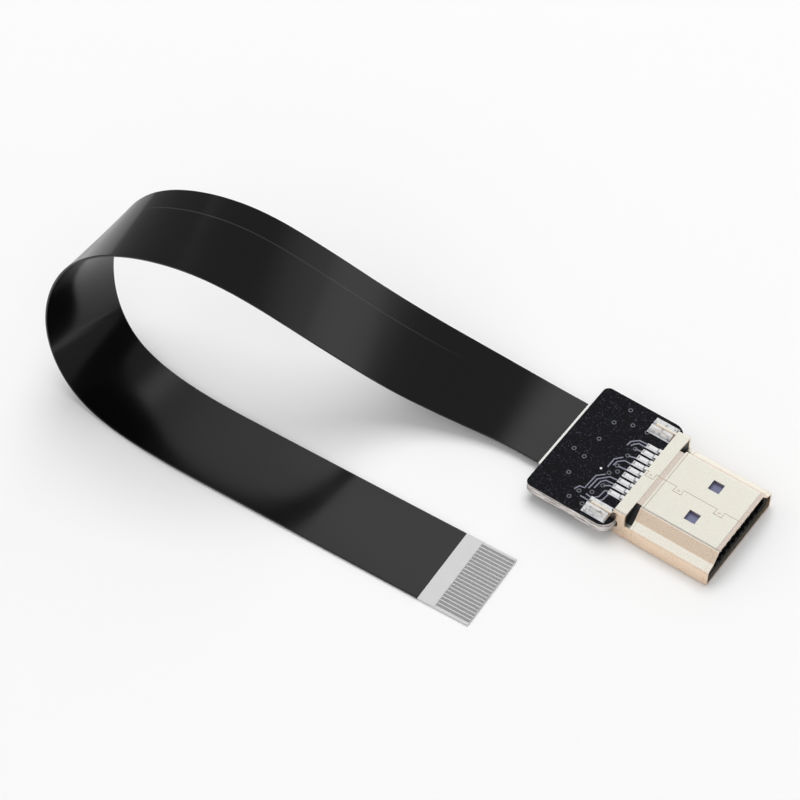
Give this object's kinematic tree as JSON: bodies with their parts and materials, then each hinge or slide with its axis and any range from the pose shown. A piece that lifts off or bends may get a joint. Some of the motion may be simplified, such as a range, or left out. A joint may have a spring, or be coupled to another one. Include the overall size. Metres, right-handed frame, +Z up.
{
  "type": "flat flex cable with video plug adapter",
  "caption": "Black flat flex cable, one end plugged into a small black board that carries a metal-shelled digital video plug, the other end bare with printed contacts.",
  "frame": {"origin": "bottom centre of the plug and board together, without the cable: middle of their length and width, on the plane of the plug shell's bottom", "axes": "+X towards the plug's mouth along the plug's length, +Z up off the surface it lies on, +Y across, to the left looking out of the mouth"},
  "size_m": [0.0788, 0.0376, 0.0291],
  "materials": {
    "plated_shell": "plated, satin",
    "black_moulding": "moulded, matt",
    "gold_contact": "gold flash",
    "board_mask": "black solder mask, glossy",
    "tinned_pad": "tinned",
    "solder": "bright solder",
    "socket_moulding": "moulded, matt",
    "slider_moulding": "moulded, matt",
    "cable_jacket": "glossy film",
    "white_support": "satin film",
    "grey_support": "satin film",
    "tinned_finger": "tinned, dull"
  },
  "bodies": {
    "adapter": {"plug_shell": "plated_shell", "plug_insulator": "black_moulding", "rear_wafer": "black_moulding", "upper_contacts": "gold_contact", "lower_contacts": "gold_contact", "board": "board_mask", "upper_pads": "tinned_pad", "lower_pads": "tinned_pad", "leg_solder": "solder", "tail_solder": "solder", "socket_housing": "socket_moulding", "socket_contacts": "gold_contact", "socket_tabs": "tinned_pad", "outer_film": "cable_jacket", "inner_film": "cable_jacket", "board_end_support": "white_support", "board_end_contacts": "tinned_finger", "free_end_support": "grey_support", "free_end_contacts": "tinned_finger"},
    "slider": {"socket_slider": "slider_moulding"}
  },
  "joints": [
    {"name": "slider_slide", "type": "slide", "parent": "adapter", "child": "slider", "axis": [-1, 0, 0], "range_m": [0, 0.001]}
  ]
}
